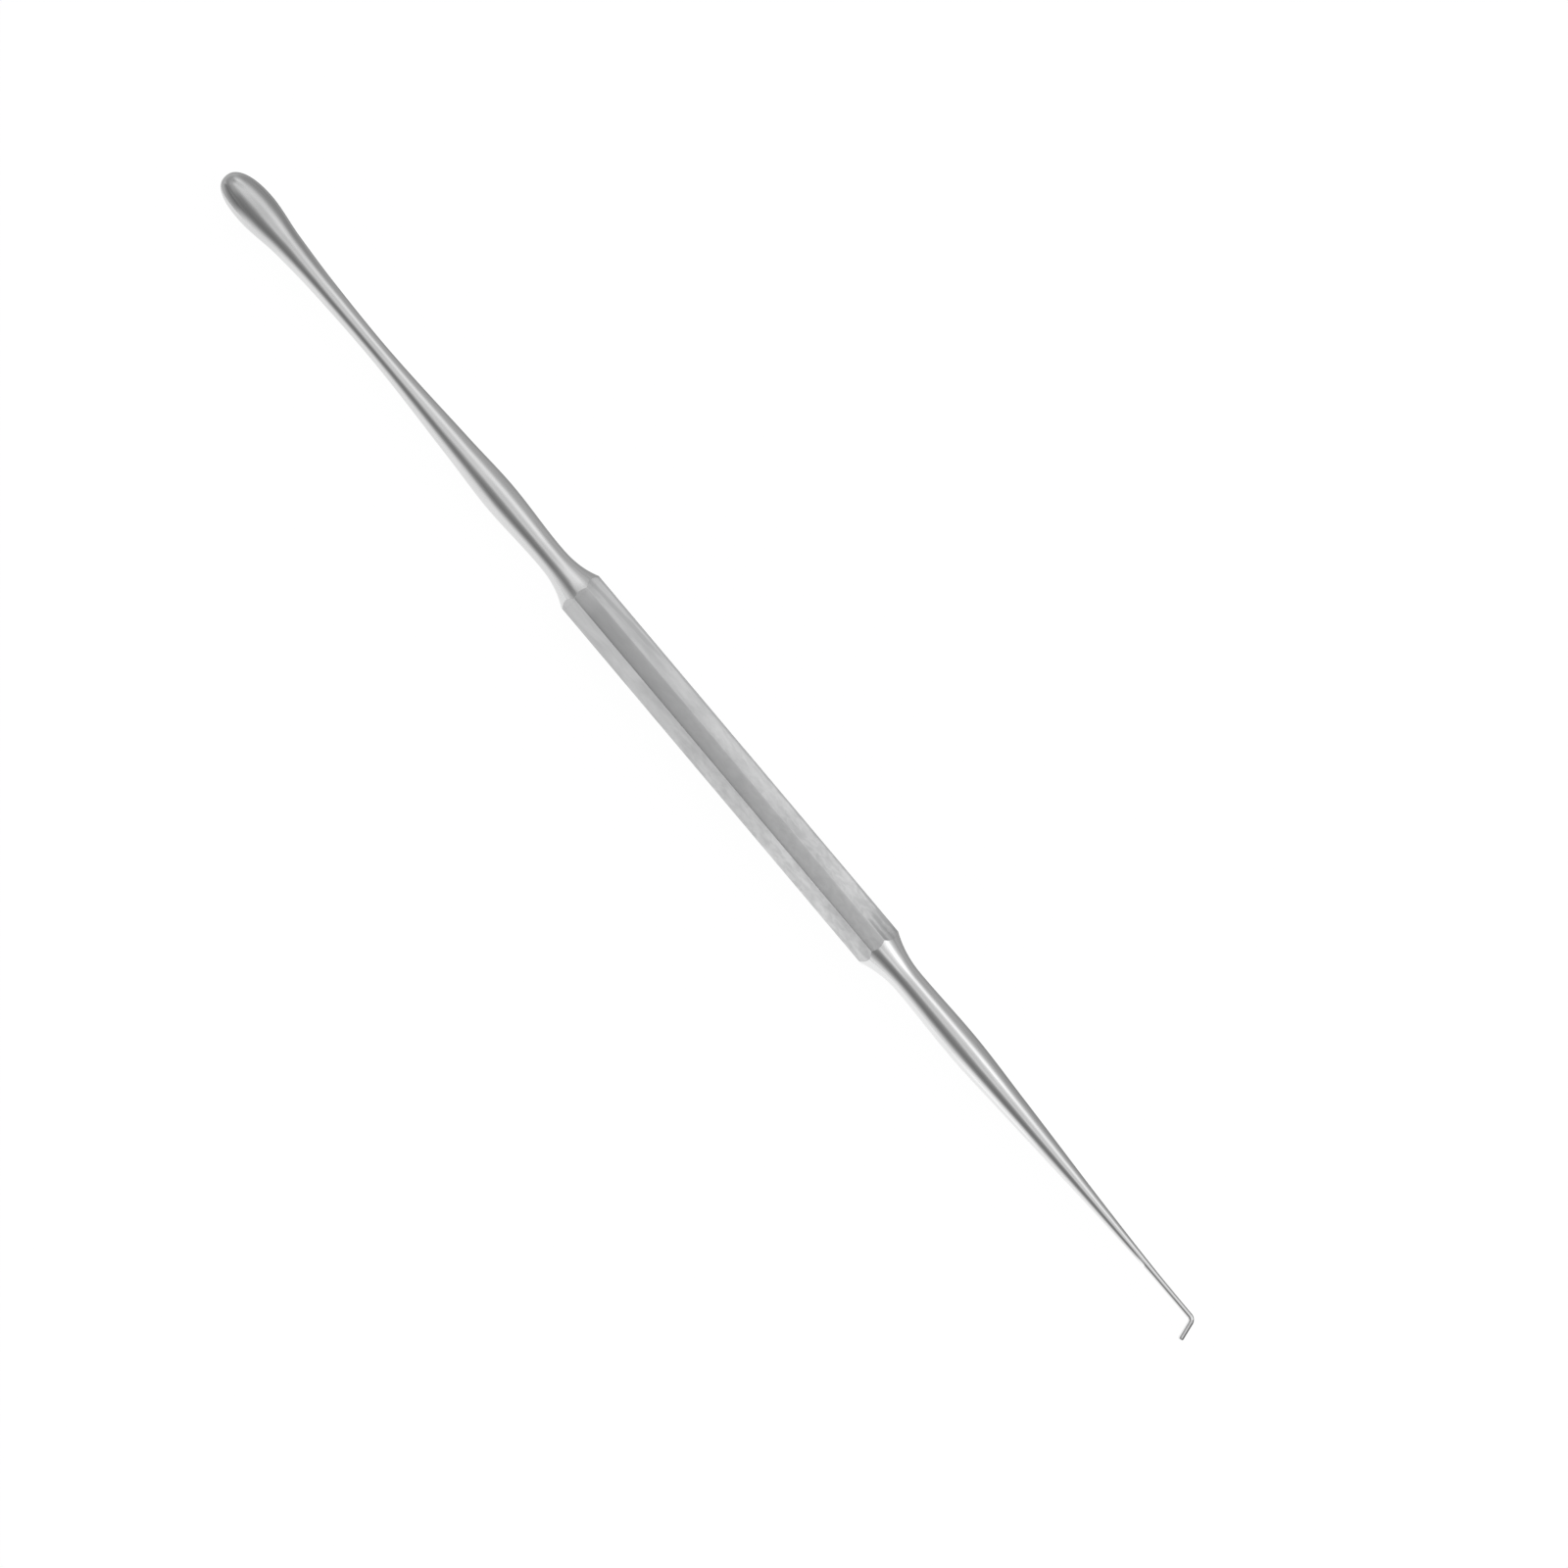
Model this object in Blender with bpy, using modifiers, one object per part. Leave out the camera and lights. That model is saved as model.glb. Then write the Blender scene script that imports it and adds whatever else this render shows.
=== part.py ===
"""A double-ended ear pick: an octagonal handle with a spatula end and a hook end.

The handle is a square bar whose four corners are planed off, drilled blind at both ends.
Each end is turned from round bar in one piece: a tang, a shoulder, a flared collar, a
swelling shank and its tip. The tang seats in the handle's bore and the shoulder on the
handle's end face, with a ring of brazing alloy in the bore's chamfered mouth. The flats are
planed across handle and collar together, so the turned flare ends them in scallops. The
spatula's drop is pressed a little flat, and the hook is bent from the turned wire.

The tool lies on one flat of its handle, with the hook end towards +X and the hook's leg
towards -Y. The origin is on that flat, under the middle of the handle.
"""

import math

import bmesh
import bpy

# Handle, in metres
BAR_ACROSS_FLATS = 0.0054
BAR_CORNER_CUT = 0.00175
BAR_EDGE_ROUNDING = 0.00012
BAR_LENGTH = 0.0499

# Bores in the handle's ends
BORE_RADIUS = 0.0015
BORE_DEPTH = 0.0120
BORE_MOUTH_CHAMFER = 0.0004
DRILL_POINT_ANGLE = math.radians(118)

# Tangs, and how they fit the bores
TANG_CLEARANCE = 0.00002
TANG_END_ROOM = 0.0008
TANG_LEAD_IN = 0.0003
TANG_VENT_DEPTH = 0.00018
SEAM = 0.00002
BRAZE_CLEARANCE = 0.00003

# Collars
COLLAR_LAND = 0.0001
COLLAR_OVERSIZE = 0.00004

# Spatula end: each stretch runs on from the one before, outwards from the collar
SPATULA_FLARE_LENGTH = 0.00565
SPATULA_FLARE_SHARPNESS = 2.5
SPATULA_NECK_RADIUS = 0.00160
SPATULA_SWELL_LENGTH = 0.0082
SPATULA_SWELL_RADIUS = 0.00189
SPATULA_UPPER_TAPER_LENGTH = 0.0072
SPATULA_UPPER_TAPER_RADIUS = 0.00157
SPATULA_LOWER_TAPER_LENGTH = 0.0145
SPATULA_WAIST_RADIUS = 0.00108
SPATULA_RISE_LENGTH = 0.0080
SPATULA_RISE_RADIUS = 0.00125
SPATULA_SHOULDER_LENGTH = 0.0065
SPATULA_SHOULDER_RADIUS = 0.00165
SPATULA_DROP_LENGTH = 0.0054
SPATULA_DROP_RADIUS = 0.00225
SPATULA_NOSE_LENGTH = 0.00480
SPATULA_NOSE_FULLNESS = 2.35
SPATULA_DROP_THICKNESS = 0.0037
SPATULA_NOSE_OFFSET = 0.00033

# Hook end, laid out in the same way, with the hook bent from its wire
HOOK_FLARE_LENGTH = 0.0056
HOOK_FLARE_SHARPNESS = 2.15
HOOK_NECK_RADIUS = 0.00164
HOOK_SWELL_LENGTH = 0.0086
HOOK_SWELL_RADIUS = 0.00179
HOOK_UPPER_TAPER_LENGTH = 0.0092
HOOK_UPPER_TAPER_RADIUS = 0.00142
HOOK_LOWER_TAPER_LENGTH = 0.0161
HOOK_LOWER_TAPER_RADIUS = 0.000645
HOOK_POINT_LENGTH = 0.0097
HOOK_POINT_RADIUS = 0.00035
HOOK_WIRE_LENGTH = 0.0040
HOOK_WIRE_RADIUS = 0.00033
HOOK_TURN = math.radians(71)
HOOK_INSIDE_RADIUS = 0.00038
HOOK_LEG_LENGTH = 0.00212
HOOK_LEG_RADIUS = 0.00034
HOOK_TIP_FULLNESS = 3.0

# Fineness of the turned surfaces
TURNED_SIDES = 40
RING_SPACING = 0.0017
FLARE_RINGS = 9
FLARE_RING_BUNCHING = 1.4
NOSE_RINGS = 12
TIP_RINGS = 6
BEND_RINGS = 9
LEG_RINGS = 4
SMALLEST_SIDE = 0.000001
NEARLY_ALONG = 0.99
SHARP_ANGLE = math.radians(20)

COLLECTION_NAME = "ear_pick"
CUTTER_COLLECTION_NAME = "ear_pick_cutters"

# Sizes that follow from the ones above
BAR_FLAT_WIDTH = BAR_ACROSS_FLATS - 2 * BAR_CORNER_CUT
BAR_CORNER_RADIUS = math.hypot(BAR_ACROSS_FLATS, BAR_FLAT_WIDTH) / 2
COLLAR_RADIUS = BAR_CORNER_RADIUS + COLLAR_OVERSIZE
TANG_RADIUS = BORE_RADIUS - TANG_CLEARANCE
TANG_LENGTH = BORE_DEPTH - TANG_END_ROOM
SHOULDER_AT = BAR_LENGTH / 2 + SEAM


def clear_scene():
    """Remove whatever the scene holds."""
    for old in list(bpy.data.objects):
        bpy.data.objects.remove(old, do_unlink=True)


def new_collection(name):
    """A collection of that name, linked to the scene."""
    made = bpy.data.collections.new(name)
    bpy.context.scene.collection.children.link(made)
    return made


def steel(name, colour, roughness):
    """A metal with the given colour and roughness."""
    made = bpy.data.materials.new(name)
    made.use_nodes = True
    shader = made.node_tree.nodes["Principled BSDF"]
    shader.inputs["Base Color"].default_value = (*colour, 1)
    shader.inputs["Metallic"].default_value = 1
    shader.inputs["Roughness"].default_value = roughness
    made.diffuse_color = (*colour, 1)
    return made


def object_from(name, bm, collection):
    """A new object that holds the finished bmesh."""
    mesh = bpy.data.meshes.new(name)
    bm.to_mesh(mesh)
    bm.free()
    made = bpy.data.objects.new(name, mesh)
    collection.objects.link(made)
    return made


def hide_cutter(cutter):
    """Keep a cutter out of the model."""
    cutter.hide_render = True
    cutter.display_type = "WIRE"


def freeze(obj):
    """Turn an object's modifiers into its own mesh, closed and facing outwards."""
    depsgraph = bpy.context.evaluated_depsgraph_get()
    mesh = bpy.data.meshes.new_from_object(obj.evaluated_get(depsgraph))
    bm = bmesh.new()
    bm.from_mesh(mesh)
    bmesh.ops.remove_doubles(bm, verts=bm.verts, dist=SMALLEST_SIDE)
    bmesh.ops.recalc_face_normals(bm, faces=bm.faces)
    bm.to_mesh(mesh)
    bm.free()
    obj.modifiers.clear()
    obj.data = mesh
    mesh.name = obj.name


def finish_surface(obj, material):
    """Give an object its material, and shade its round faces smooth."""
    obj.data.materials.clear()
    obj.data.materials.append(material)
    obj.data.shade_smooth()
    obj.data.set_sharp_from_angle(angle=SHARP_ANGLE)


def turn(name, outline, collection, closed=False):
    """A shape turned round Z from (radius, height) points, which run from top to bottom."""
    bm = bmesh.new()
    verts = [bm.verts.new((radius, 0, height)) for radius, height in outline]
    following = verts[1:] + verts[:1] if closed else verts[1:]
    for first, second in zip(verts, following):
        bm.edges.new((first, second))
    made = object_from(name, bm, collection)
    screw = made.modifiers.new("Turning", "SCREW")
    screw.axis = "Z"
    screw.angle = math.tau
    screw.steps = TURNED_SIDES
    screw.render_steps = TURNED_SIDES
    screw.use_merge_vertices = True
    screw.merge_threshold = SMALLEST_SIDE
    return made


def cut(obj, cutter, operation):
    """Cut an object with another, keeping the difference or what they share."""
    boolean = obj.modifiers.new(operation.title(), "BOOLEAN")
    boolean.operation = operation
    boolean.solver = "EXACT"
    boolean.object = cutter


def planed_bar(name, length, collection):
    """A square bar along Z with its corners planed off and the new edges eased."""
    bm = bmesh.new()
    bmesh.ops.create_cube(bm, size=1)
    bmesh.ops.scale(bm, vec=(BAR_ACROSS_FLATS, BAR_ACROSS_FLATS, length), verts=bm.verts)
    for width, segments in ((BAR_CORNER_CUT, 1), (BAR_EDGE_ROUNDING, 2)):
        long_edges = [edge for edge in bm.edges if runs_along_z(edge)]
        bmesh.ops.bevel(bm, geom=long_edges, offset=width, offset_type="OFFSET",
                        segments=segments, profile=0.5, affect="EDGES")
    return object_from(name, bm, collection)


def runs_along_z(edge):
    """Whether an edge runs the length of the bar."""
    direction = (edge.verts[1].co - edge.verts[0].co).normalized()
    return abs(direction.z) > NEARLY_ALONG


def curve_slopes(stations):
    """Slopes at (distance, radius) stations that keep the curve free of bumps."""
    steps = [(r1 - r0) / (z1 - z0) for (z0, r0), (z1, r1) in zip(stations, stations[1:])]
    slopes = [0.0]
    for before, after in zip(steps, steps[1:]):
        same_way = before * after > 0
        slopes.append(2 * before * after / (before + after) if same_way else 0.0)
    slopes.append(0.0)
    return slopes


def shank_outline(stations):
    """(radius, distance) points on the smooth curve through the stations, after the first."""
    slopes = curve_slopes(stations)
    points = []
    for index, ((z0, r0), (z1, r1)) in enumerate(zip(stations, stations[1:])):
        length = z1 - z0
        rings = max(2, math.ceil(length / RING_SPACING))
        for ring in range(1, rings + 1):
            t = ring / rings
            start = (1 + 2 * t) * (1 - t) ** 2
            radius = r0 * start + r1 * (1 - start)
            radius += slopes[index] * length * t * (1 - t) ** 2
            radius += slopes[index + 1] * length * t * t * (t - 1)
            points.append((radius, z0 + length * t))
    return points


def flare_outline(neck_radius, length, sharpness):
    """(radius, distance) points from the collar's rim down its hollow flare to the neck."""
    points = []
    for ring in range(FLARE_RINGS + 1):
        t = (ring / FLARE_RINGS) ** FLARE_RING_BUNCHING
        radius = neck_radius + (COLLAR_RADIUS - neck_radius) * (1 - t) ** sharpness
        points.append((radius, COLLAR_LAND + length * t))
    return points


def rounded_end(radius, start, length, fullness, rings):
    """(radius, distance) points over a rounded end, the last of them on the axis."""
    points = []
    for ring in range(1, rings):
        angle = math.pi / 2 * ring / rings
        share = math.cos(angle) ** (2 / fullness)
        points.append((radius * share, start + length * math.sin(angle) ** (2 / fullness)))
    points.append((0, start + length))
    return points


def tang_outline():
    """(radius, distance) points from the tang's end on the axis out to the collar's rim."""
    return [
        (0, -TANG_LENGTH),
        (TANG_RADIUS - TANG_LEAD_IN, -TANG_LENGTH),
        (TANG_RADIUS, TANG_LEAD_IN - TANG_LENGTH),
        (TANG_RADIUS, 0),
        (COLLAR_RADIUS, 0),
    ]


def running_on(start, stretches):
    """(distance, radius) stations from (length, radius) stretches that follow each other."""
    stations = []
    distance = start
    for length, radius in stretches:
        distance += length
        stations.append((distance, radius))
    return stations


def turned_end(name, outline, collection, cutters):
    """An end piece turned along +Z, with its collar's flats and its tang's vent planed on."""
    made = turn(name, reversed(outline), collection)
    reach = outline[-1][1] + TANG_LENGTH
    flats = planed_bar(name + "_flats", 2 * (reach + TANG_LENGTH), cutters)
    hide_cutter(flats)
    cut(made, flats, "INTERSECT")
    vent = vent_cutter(name + "_vent", cutters)
    cut(made, vent, "DIFFERENCE")
    freeze(made)
    return made


def vent_cutter(name, cutters):
    """A block that planes a narrow flat along the tang, where trapped air gets out."""
    bm = bmesh.new()
    bmesh.ops.create_cube(bm, size=1)
    bmesh.ops.scale(bm, vec=(2 * BORE_RADIUS, BORE_RADIUS, 2 * TANG_LENGTH), verts=bm.verts)
    side = TANG_RADIUS - TANG_VENT_DEPTH + BORE_RADIUS / 2
    bmesh.ops.translate(bm, vec=(0, side, -TANG_LENGTH), verts=bm.verts)
    made = object_from(name, bm, cutters)
    hide_cutter(made)
    return made


def press_drop(mesh, widest_at, tip_at):
    """Flatten the spatula's drop between X sides, and draw its nose towards -Y."""
    waist_at = widest_at - SPATULA_DROP_LENGTH - SPATULA_SHOULDER_LENGTH
    pressed = 1 - SPATULA_DROP_THICKNESS / (2 * SPATULA_DROP_RADIUS)
    for vertex in mesh.vertices:
        share = min(max((vertex.co.z - waist_at) / (widest_at - waist_at), 0), 1)
        eased = share * share * (3 - 2 * share)
        vertex.co.x *= 1 - pressed * eased
        along_nose = min(max((vertex.co.z - waist_at) / (tip_at - waist_at), 0), 1)
        vertex.co.y -= SPATULA_NOSE_OFFSET * along_nose ** 3


def bend_hook(mesh, bend_at):
    """Bend the wire beyond a distance towards -Y, with its leg straight after the bend."""
    bend_radius = HOOK_INSIDE_RADIUS + HOOK_WIRE_RADIUS
    bend_length = bend_radius * HOOK_TURN
    for vertex in mesh.vertices:
        beyond = vertex.co.z - bend_at
        if beyond <= 0:
            continue
        angle = min(beyond, bend_length) / bend_radius
        leg = max(beyond - bend_length, 0)
        out = bend_radius + vertex.co.y
        vertex.co.z = bend_at + out * math.sin(angle) + leg * math.cos(angle)
        vertex.co.y = out * math.cos(angle) - bend_radius - leg * math.sin(angle)


def make_handle(collection, cutters):
    """The planed bar with a bore in each end."""
    handle = planed_bar("handle", BAR_LENGTH, collection)
    point_length = BORE_RADIUS / math.tan(DRILL_POINT_ANGLE / 2)
    outline = [
        (0, BORE_MOUTH_CHAMFER),
        (BORE_RADIUS + 2 * BORE_MOUTH_CHAMFER, BORE_MOUTH_CHAMFER),
        (BORE_RADIUS, -BORE_MOUTH_CHAMFER),
        (BORE_RADIUS, -BORE_DEPTH),
        (0, -BORE_DEPTH - point_length),
    ]
    for side in (1, -1):
        bore = turn("handle_bore", outline, cutters)
        bore.location.z = side * BAR_LENGTH / 2
        bore.rotation_euler.x = 0 if side > 0 else math.pi
        hide_cutter(bore)
        cut(handle, bore, "DIFFERENCE")
    bpy.context.view_layer.update()
    freeze(handle)
    return handle


def make_spatula_end(collection, cutters):
    """The end whose shank swells, narrows to a waist and widens to a blunt drop."""
    flare = flare_outline(SPATULA_NECK_RADIUS, SPATULA_FLARE_LENGTH, SPATULA_FLARE_SHARPNESS)
    neck_at = flare[-1][1]
    stations = running_on(neck_at, [
        (0, SPATULA_NECK_RADIUS),
        (SPATULA_SWELL_LENGTH, SPATULA_SWELL_RADIUS),
        (SPATULA_UPPER_TAPER_LENGTH, SPATULA_UPPER_TAPER_RADIUS),
        (SPATULA_LOWER_TAPER_LENGTH, SPATULA_WAIST_RADIUS),
        (SPATULA_RISE_LENGTH, SPATULA_RISE_RADIUS),
        (SPATULA_SHOULDER_LENGTH, SPATULA_SHOULDER_RADIUS),
        (SPATULA_DROP_LENGTH, SPATULA_DROP_RADIUS),
    ])
    widest_at = stations[-1][0]
    nose = rounded_end(SPATULA_DROP_RADIUS, widest_at, SPATULA_NOSE_LENGTH,
                       SPATULA_NOSE_FULLNESS, NOSE_RINGS)
    outline = tang_outline() + flare + shank_outline(stations) + nose
    made = turned_end("spatula_end", outline, collection, cutters)
    press_drop(made.data, widest_at, nose[-1][1])
    return made


def make_hook_end(collection, cutters):
    """The end whose shank tapers to a wire, bent into a short blunt hook."""
    flare = flare_outline(HOOK_NECK_RADIUS, HOOK_FLARE_LENGTH, HOOK_FLARE_SHARPNESS)
    neck_at = flare[-1][1]
    stations = running_on(neck_at, [
        (0, HOOK_NECK_RADIUS),
        (HOOK_SWELL_LENGTH, HOOK_SWELL_RADIUS),
        (HOOK_UPPER_TAPER_LENGTH, HOOK_UPPER_TAPER_RADIUS),
        (HOOK_LOWER_TAPER_LENGTH, HOOK_LOWER_TAPER_RADIUS),
        (HOOK_POINT_LENGTH, HOOK_POINT_RADIUS),
        (HOOK_WIRE_LENGTH, HOOK_WIRE_RADIUS),
    ])
    bend_at = stations[-1][0]
    bend_length = (HOOK_INSIDE_RADIUS + HOOK_WIRE_RADIUS) * HOOK_TURN
    leg_at = bend_at + bend_length
    leg_end = leg_at + HOOK_LEG_LENGTH - HOOK_LEG_RADIUS
    hook = []
    for ring in range(1, BEND_RINGS + 1):
        share = ring / BEND_RINGS
        radius = HOOK_WIRE_RADIUS + (HOOK_LEG_RADIUS - HOOK_WIRE_RADIUS) * share
        hook.append((radius, bend_at + bend_length * share))
    for ring in range(1, LEG_RINGS + 1):
        hook.append((HOOK_LEG_RADIUS, leg_at + (leg_end - leg_at) * ring / LEG_RINGS))
    tip = rounded_end(HOOK_LEG_RADIUS, leg_end, HOOK_LEG_RADIUS, HOOK_TIP_FULLNESS, TIP_RINGS)
    outline = tang_outline() + flare + shank_outline(stations) + hook + tip
    made = turned_end("hook_end", outline, collection, cutters)
    bend_hook(made.data, bend_at)
    return made


def make_braze_ring(name, collection):
    """The ring of alloy that fills the bore's chamfered mouth round the tang."""
    depth = BORE_MOUTH_CHAMFER - BRAZE_CLEARANCE
    outline = [(BORE_RADIUS, 0), (BORE_RADIUS + depth, 0), (BORE_RADIUS, -depth)]
    made = turn(name, outline, collection, closed=True)
    freeze(made)
    return made


def build():
    """Make the pieces and lay them along X."""
    clear_scene()
    collection = new_collection(COLLECTION_NAME)
    cutters = new_collection(CUTTER_COLLECTION_NAME)
    satin = steel("satin_steel", (0.60, 0.60, 0.60), 0.42)
    polished = steel("polished_steel", (0.66, 0.66, 0.66), 0.16)
    alloy = steel("silver_braze", (0.78, 0.72, 0.62), 0.30)

    tool = bpy.data.objects.new("tool_axis", None)
    collection.objects.link(tool)
    tool.location.z = BAR_ACROSS_FLATS / 2

    towards_hook = math.radians(90)
    towards_spatula = math.radians(-90)
    placed = [
        (make_handle(collection, cutters), satin, 0, towards_hook),
        (make_spatula_end(collection, cutters), polished, -SHOULDER_AT, towards_spatula),
        (make_hook_end(collection, cutters), polished, SHOULDER_AT, towards_hook),
        (make_braze_ring("spatula_braze_ring", collection), alloy,
         -BAR_LENGTH / 2, towards_spatula),
        (make_braze_ring("hook_braze_ring", collection), alloy,
         BAR_LENGTH / 2, towards_hook),
    ]
    for piece, material, along, turned in placed:
        finish_surface(piece, material)
        piece.parent = tool
        piece.location.x = along
        piece.rotation_euler.y = turned
    bpy.context.view_layer.update()


build()
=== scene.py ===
"""A double-ended ear pick on a pale floor, laid out as a Blender add-on.

The handle and both ends start as plain grids of rings. Geometry Nodes turn, plane, press and
bend them as the steel itself was worked. Sizes are in metres, and the tool lies along X.
"""

import math

import bmesh
import bpy
from bpy.props import FloatProperty, FloatVectorProperty, IntProperty, PointerProperty
from mathutils import Matrix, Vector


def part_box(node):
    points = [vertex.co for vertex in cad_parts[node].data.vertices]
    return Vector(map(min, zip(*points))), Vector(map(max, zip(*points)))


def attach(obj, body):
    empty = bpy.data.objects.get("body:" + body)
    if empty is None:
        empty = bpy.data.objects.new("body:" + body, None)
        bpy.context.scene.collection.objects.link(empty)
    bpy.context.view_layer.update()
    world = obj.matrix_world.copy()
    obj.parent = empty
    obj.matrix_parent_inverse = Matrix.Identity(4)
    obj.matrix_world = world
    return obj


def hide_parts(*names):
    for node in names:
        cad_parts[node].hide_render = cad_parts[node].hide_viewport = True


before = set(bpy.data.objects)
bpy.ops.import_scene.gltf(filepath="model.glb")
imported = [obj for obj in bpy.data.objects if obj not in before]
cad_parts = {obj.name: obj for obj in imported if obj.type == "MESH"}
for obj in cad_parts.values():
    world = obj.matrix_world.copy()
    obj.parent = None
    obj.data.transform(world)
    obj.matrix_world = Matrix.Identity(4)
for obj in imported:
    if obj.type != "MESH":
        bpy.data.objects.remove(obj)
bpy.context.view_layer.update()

bl_info = {
    "name": "Double-ended ear pick",
    "version": (1, 0, 0),
    "blender": (4, 5, 0),
    "location": "3D View > Sidebar > Ear pick",
    "description": "Makes an octagonal-handled ear pick with a spatula end and a hook end",
    "category": "Add Mesh",
}

HANDLE_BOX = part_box("handle")
HANDLE_LENGTH = HANDLE_BOX[1][0] - HANDLE_BOX[0][0]
HANDLE_ACROSS = HANDLE_BOX[1][2] - HANDLE_BOX[0][2]
AXIS_HEIGHT = (HANDLE_BOX[0][2] + HANDLE_BOX[1][2]) / 2
DRILL_POINT_ANGLE = math.radians(118)

# Alloy that fills most of each seam, ground flush with the steel
SEAM_FILLING = 0.000016

# Names of the finishes, none of which a material of the solids has
SATIN = "ground_satin_finish"
POLISHED = "bright_polished_finish"
BRAZE = "brazing_alloy_finish"

# What each effect, mark and painted light or shade adds to the brightness, roughness or height of
# the steel
SATIN_BRIGHTNESS = {
    "level": 0.38, "painted_light_towards_hook": 0.30, "patches": 1.0, "grain": 0.12, "worn": 0.26,
    "mottles": 0.42, "scratches": -0.10, "painted_shade_on_top": -0.36, "painted_light_on_top_end": 0.48,
    "painted_shade_outer_edge": -0.72, "slanted_line": -0.58, "lines_by_hook": -0.62, "darker_strip_by_hook": -0.40,
}
SATIN_ROUGHNESS = {"level": 0.01, "clouds": -0.05, "broad": -0.04, "grain": 0.08,
                   "worn": -0.04, "scratches": 0.06}
SATIN_HEIGHT = {"grain": 0.22, "clouds": 0.35, "broad": 0.9, "scratches": -0.12}
POLISHED_BRIGHTNESS = {"grain": 0.6, "bloom": 0.4, "scratches": -0.15}
POLISHED_ROUGHNESS = {"level": -0.03, "bloom": 0.03, "grain": 0.06, "scratches": 0.10}
POLISHED_HEIGHT = {"grain": 0.10, "bloom": 0.25, "scratches": -0.06}

# One slanted grinding line on the handle, and the even ones by the hook's collar
SLANT_ALONG = -0.0161
SLANT_ACROSS = 0.00215
SLANT_SLOPE = 0.056
GRINDING_LINE_SPACING = 0.00068
GRINDING_LINE_SHIFT = 4.14

# How many patches with scratches fit in a metre, along and across
SCRATCHED_PATCHES = (420.0, 900.0, 900.0)

EIGHTH_TURN = math.tau / 8
QUARTER_TURN = math.tau / 4
TOWARDS_HOOK = math.radians(90)
TOWARDS_SPATULA = math.radians(-90)
SHARP_ANGLE = math.radians(18)
POLE_MERGE = 0.000001

# Where the columns of a grid stand, in degrees either side of each ground edge
COLUMNS_AT_EDGE = (-1.2, -0.7, -0.3, 0.0, 0.3, 0.7, 1.2)
COLUMNS_ON_MAIN_FLAT = 5
COLUMNS_ON_CORNER_FLAT = 7
COLLAR_RINGS = 4
FLARE_RING_BUNCHING = 1.4

# Brightness of the studio round the tool's axis, by degrees from straight above. Minus is the
# side that the hook's leg points to. These stops weren't chosen freely: they follow a program's
# least-squares fit of the polished ends to the photograph's tones, changed a little.
GLOW_LEVEL = (
    (-110, 0.96), (-90, 0.93), (-78, 0.84), (-66, 0.60), (-54, 0.32), (-42, 0.205), (-30, 0.23),
    (-18, 0.28), (-9, 0.38), (-4, 0.52), (2, 0.71), (10, 0.72), (22, 0.71), (32, 0.88),
    (42, 0.99), (52, 0.94), (62, 0.69), (74, 0.52), (90, 0.45), (110, 0.42),
)
GLOW_TOWARDS_HOOK = (
    (-110, 1.04), (-90, 0.99), (-78, 0.87), (-66, 0.57), (-54, 0.32), (-42, 0.215), (-30, 0.215),
    (-18, 0.28), (-11, 0.42), (-4, 0.79), (2, 0.92), (10, 0.73), (22, 0.83), (30, 1.00),
    (40, 1.32), (56, 1.32), (65, 1.00), (74, 0.72), (90, 0.52), (110, 0.45),
)
GLOW_TOWARDS_SPATULA = (
    (-110, 0.90), (-90, 0.87), (-78, 0.79), (-66, 0.62), (-54, 0.39), (-42, 0.265), (-30, 0.25),
    (-18, 0.32), (-10, 0.44), (2, 0.76), (10, 0.86), (22, 0.89), (32, 0.96), (44, 0.98),
    (54, 0.88), (64, 0.70), (76, 0.57), (110, 0.48),
)
GLOW_PAST_ENDS = 0.45

# How far a direction leans along the tool where each of those starts and where it is full
LEANING_TO_HOOK = (0.03, 0.32)
LEANING_TO_SPATULA = (-0.05, -0.40)
LEANING_PAST_ENDS = (0.68, 1.04)

# The studio's colours are divided by this to stay below 1, and its light is multiplied by it
GLOW_SCALE = 2.0

# How bright the polished steel sees the floor, on the side that the hook's leg points to and
# beyond the tool
NEAR_FLOOR = {"drop": 0.97, "spatula": 0.90, "handle": 0.94, "hook": 1.03}
FAR_FLOOR = {"drop": 0.45, "spatula": 0.415, "necks": 0.445, "handle": 0.62, "hook": 0.37}
FLOOR_PAST_TIPS = 0.52

# What is left of that brightness close beyond the tool
SHADE_BY_HANDLE = 0.45
SHADE_BY_ENDS = 0.75

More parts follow.
